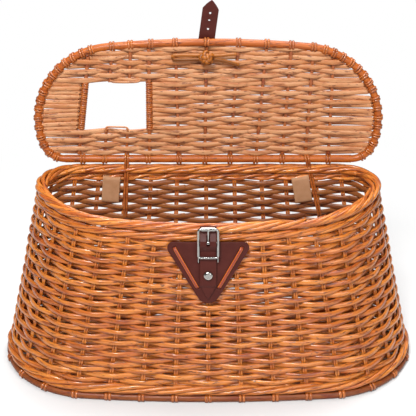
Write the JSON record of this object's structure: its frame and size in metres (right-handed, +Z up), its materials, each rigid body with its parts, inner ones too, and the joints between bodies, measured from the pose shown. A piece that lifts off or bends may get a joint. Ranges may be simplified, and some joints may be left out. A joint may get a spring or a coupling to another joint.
{
  "type": "wicker fishing creel",
  "caption": "Bow-fronted woven willow creel with a hinged lid, fish window, leather strap and roller buckle, lid standing open.",
  "frame": {"origin": "on the floor, under the middle of the body's width, in the plane of the foot hoop's underside", "axes": "+X along the long side, to the right seen from the front; -Y towards the front with the buckle; +Z up"},
  "size_m": [0.4124, 0.1798, 0.3458],
  "materials": {
    "varnished_willow": "gloss varnish over peeled willow",
    "pale_willow": "matt split willow",
    "split_cane": "gloss varnish over split cane",
    "brown_leather": "oiled harness leather",
    "tan_leather": "pale undyed leather",
    "rawhide_thong": "waxed thong",
    "nickel_plate": "worn nickel plate",
    "brass": "dull rivet brass"
  },
  "bodies": {
    "basket": {"base_hoop": "varnished_willow", "base_panel": "varnished_willow", "base_sticks": "varnished_willow", "base_bindings": "split_cane", "bottom_wale": "varnished_willow", "side_wall": "varnished_willow", "side_stakes": "varnished_willow", "top_wale": "varnished_willow", "top_border": "varnished_willow", "hinge_loop_left": "split_cane", "hinge_loop_right": "split_cane", "back_strap_left": "tan_leather", "back_strap_right": "tan_leather", "back_strap_rivets": "brass", "buckle_shield": "brown_leather", "shield_lace_left": "rawhide_thong", "shield_lace_right": "rawhide_thong", "buckle_tab": "brown_leather", "strap_rivet": "nickel_plate", "rivet_washer": "brass", "keeper_staple": "nickel_plate"},
    "lid": {"lid_back_rod": "varnished_willow", "lid_hoop": "varnished_willow", "lid_weave": "pale_willow", "lid_stakes": "pale_willow", "window_posts": "pale_willow", "window_post_wraps": "split_cane", "lid_bindings": "split_cane", "lid_end_wraps": "split_cane", "lid_strap_base": "brown_leather", "lid_strap_lace": "rawhide_thong", "lid_strap_knot": "rawhide_thong"},
    "lid_strap": {"lid_strap_end": "brown_leather"},
    "buckle": {"buckle_tab_upper": "brown_leather", "buckle_frame": "nickel_plate"},
    "roller": {"buckle_roller": "nickel_plate"},
    "tongue": {"buckle_tongue": "nickel_plate"}
  },
  "joints": [
    {"name": "lid_hinge", "type": "hinge", "parent": "basket", "child": "lid", "pos_m": [0, 0.0655, 0.185], "axis": [1, 0, 0], "range_deg": [-80, 95]},
    {"name": "lid_strap_bend", "type": "hinge", "parent": "lid", "child": "lid_strap", "pos_m": [0, 0.08316, 0.32259], "axis": [1, 0, 0], "range_deg": [-30, 85]},
    {"name": "buckle_swing", "type": "hinge", "parent": "basket", "child": "buckle", "pos_m": [0, -0.07002, 0.14755], "axis": [1, 0, 0], "range_deg": [0, 70]},
    {"name": "tongue_pivot", "type": "hinge", "parent": "buckle", "child": "tongue", "pos_m": [0, -0.06923, 0.16603], "axis": [1, 0, 0], "range_deg": [0, 100]},
    {"name": "roller_spin", "type": "hinge", "parent": "buckle", "child": "roller", "pos_m": [0, -0.06775, 0.17959], "axis": [1, 0, 0], "continuous": true}
  ]
}
